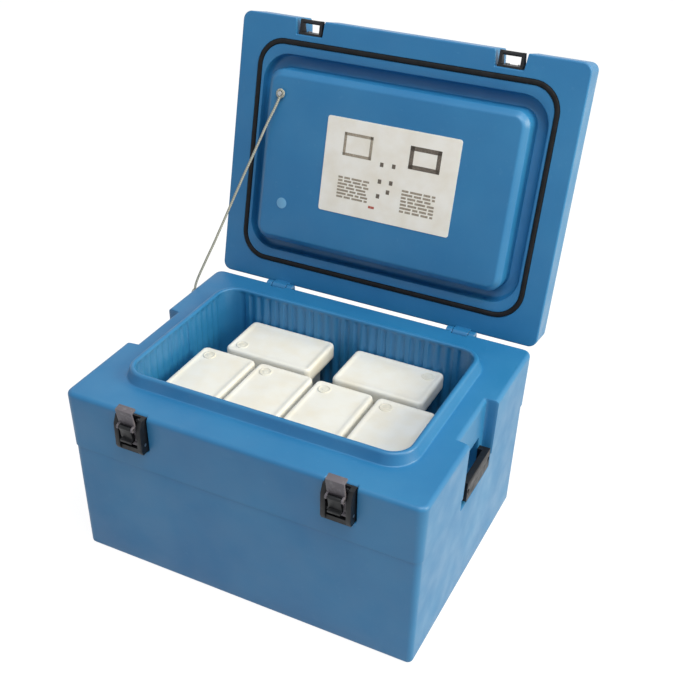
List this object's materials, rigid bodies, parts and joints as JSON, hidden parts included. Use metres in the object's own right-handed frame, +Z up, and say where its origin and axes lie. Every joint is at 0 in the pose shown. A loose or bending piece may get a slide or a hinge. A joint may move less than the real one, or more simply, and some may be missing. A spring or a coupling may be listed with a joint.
{
  "type": "insulated specimen transport box",
  "caption": "Insulated specimen transport box with a hinged lid held open by a stay cord, draw latches, hand recesses and removable water packs.",
  "frame": {"origin": "centre of the body's footprint, on the ground", "axes": "+Z up, +X to the right hand side seen from the front, -Y towards the latches at the front"},
  "size_m": [0.722, 0.7719, 0.8817],
  "materials": {
    "blue_shell": "rotomoulded polyethylene, satin with a fine grain",
    "foam": "rigid foam",
    "light_blue_plug": "satin",
    "white_pack": "blow-moulded polyethylene, waxy",
    "white_cap": "satin",
    "black_plastic": "satin",
    "grey_plate": "satin",
    "steel": "plain",
    "gasket_rubber": "matt",
    "printed_card": "laminated print",
    "cord": "braided"
  },
  "bodies": {
    "body": {"body_shell": "blue_shell", "body_foam": "foam", "base_plug": "light_blue_plug", "upright_packs": "white_pack", "upright_caps": "white_cap", "grip_left": "black_plastic", "grip_right": "black_plastic", "grip_screws": "steel", "latch_base_left": "black_plastic", "latch_base_right": "black_plastic", "latch_screws": "steel", "hook_pins": "steel", "hinge_pins": "steel", "stay_anchor_body": "black_plastic", "stay_cord": "cord"},
    "lid": {"lid_shell": "blue_shell", "lid_foam": "foam", "lid_plug": "light_blue_plug", "gasket": "gasket_rubber", "card": "printed_card", "keeper_left": "black_plastic", "keeper_right": "black_plastic", "keeper_screws": "steel", "stay_anchor_lid": "steel"},
    "hook_left": {"latch_hook_left": "grey_plate", "lever_pin_left": "steel"},
    "lever_left": {"latch_lever_left": "black_plastic"},
    "hook_right": {"latch_hook_right": "grey_plate", "lever_pin_right": "steel"},
    "lever_right": {"latch_lever_right": "black_plastic"},
    "pack_back_left_unit": {"pack_back_left": "white_pack", "cap_back_left": "white_cap"},
    "pack_back_right_unit": {"pack_back_right": "white_pack", "cap_back_right": "white_cap"},
    "pack_front_1_unit": {"pack_front_1": "white_pack", "cap_front_1": "white_cap"},
    "pack_front_2_unit": {"pack_front_2": "white_pack", "cap_front_2": "white_cap"},
    "pack_front_3_unit": {"pack_front_3": "white_pack", "cap_front_3": "white_cap"},
    "pack_front_4_unit": {"pack_front_4": "white_pack", "cap_front_4": "white_cap"}
  },
  "joints": [
    {"name": "lid_hinge", "type": "hinge", "parent": "body", "child": "lid", "pos_m": [0, 0.274, 0.3565], "axis": [1, 0, 0], "range_deg": [0, 103], "deforming": ["stay_cord"]},
    {"name": "hook_turn_left", "type": "hinge", "parent": "body", "child": "hook_left", "pos_m": [-0.205, -0.274, 0.312], "axis": [-1, 0, 0], "range_deg": [0, 12]},
    {"name": "lever_turn_left", "type": "hinge", "parent": "hook_left", "child": "lever_left", "pos_m": [-0.205, -0.28916, 0.34967], "axis": [-1, 0, 0], "range_deg": [0, 90]},
    {"name": "hook_turn_right", "type": "hinge", "parent": "body", "child": "hook_right", "pos_m": [0.205, -0.274, 0.312], "axis": [-1, 0, 0], "range_deg": [0, 12]},
    {"name": "lever_turn_right", "type": "hinge", "parent": "hook_right", "child": "lever_right", "pos_m": [0.205, -0.28916, 0.34967], "axis": [-1, 0, 0], "range_deg": [0, 90]},
    {"name": "pack_back_left_lift", "type": "slide", "parent": "body", "child": "pack_back_left_unit", "axis": [0, 0, -1], "range_m": [-0.3, 0]},
    {"name": "pack_back_right_lift", "type": "slide", "parent": "body", "child": "pack_back_right_unit", "axis": [0, 0, -1], "range_m": [-0.3, 0]},
    {"name": "pack_front_1_lift", "type": "slide", "parent": "body", "child": "pack_front_1_unit", "axis": [0, 0, -1], "range_m": [-0.3, 0]},
    {"name": "pack_front_2_lift", "type": "slide", "parent": "body", "child": "pack_front_2_unit", "axis": [0, 0, -1], "range_m": [-0.3, 0]},
    {"name": "pack_front_3_lift", "type": "slide", "parent": "body", "child": "pack_front_3_unit", "axis": [0, 0, -1], "range_m": [-0.3, 0]},
    {"name": "pack_front_4_lift", "type": "slide", "parent": "body", "child": "pack_front_4_unit", "axis": [0, 0, -1], "range_m": [-0.3, 0]}
  ]
}
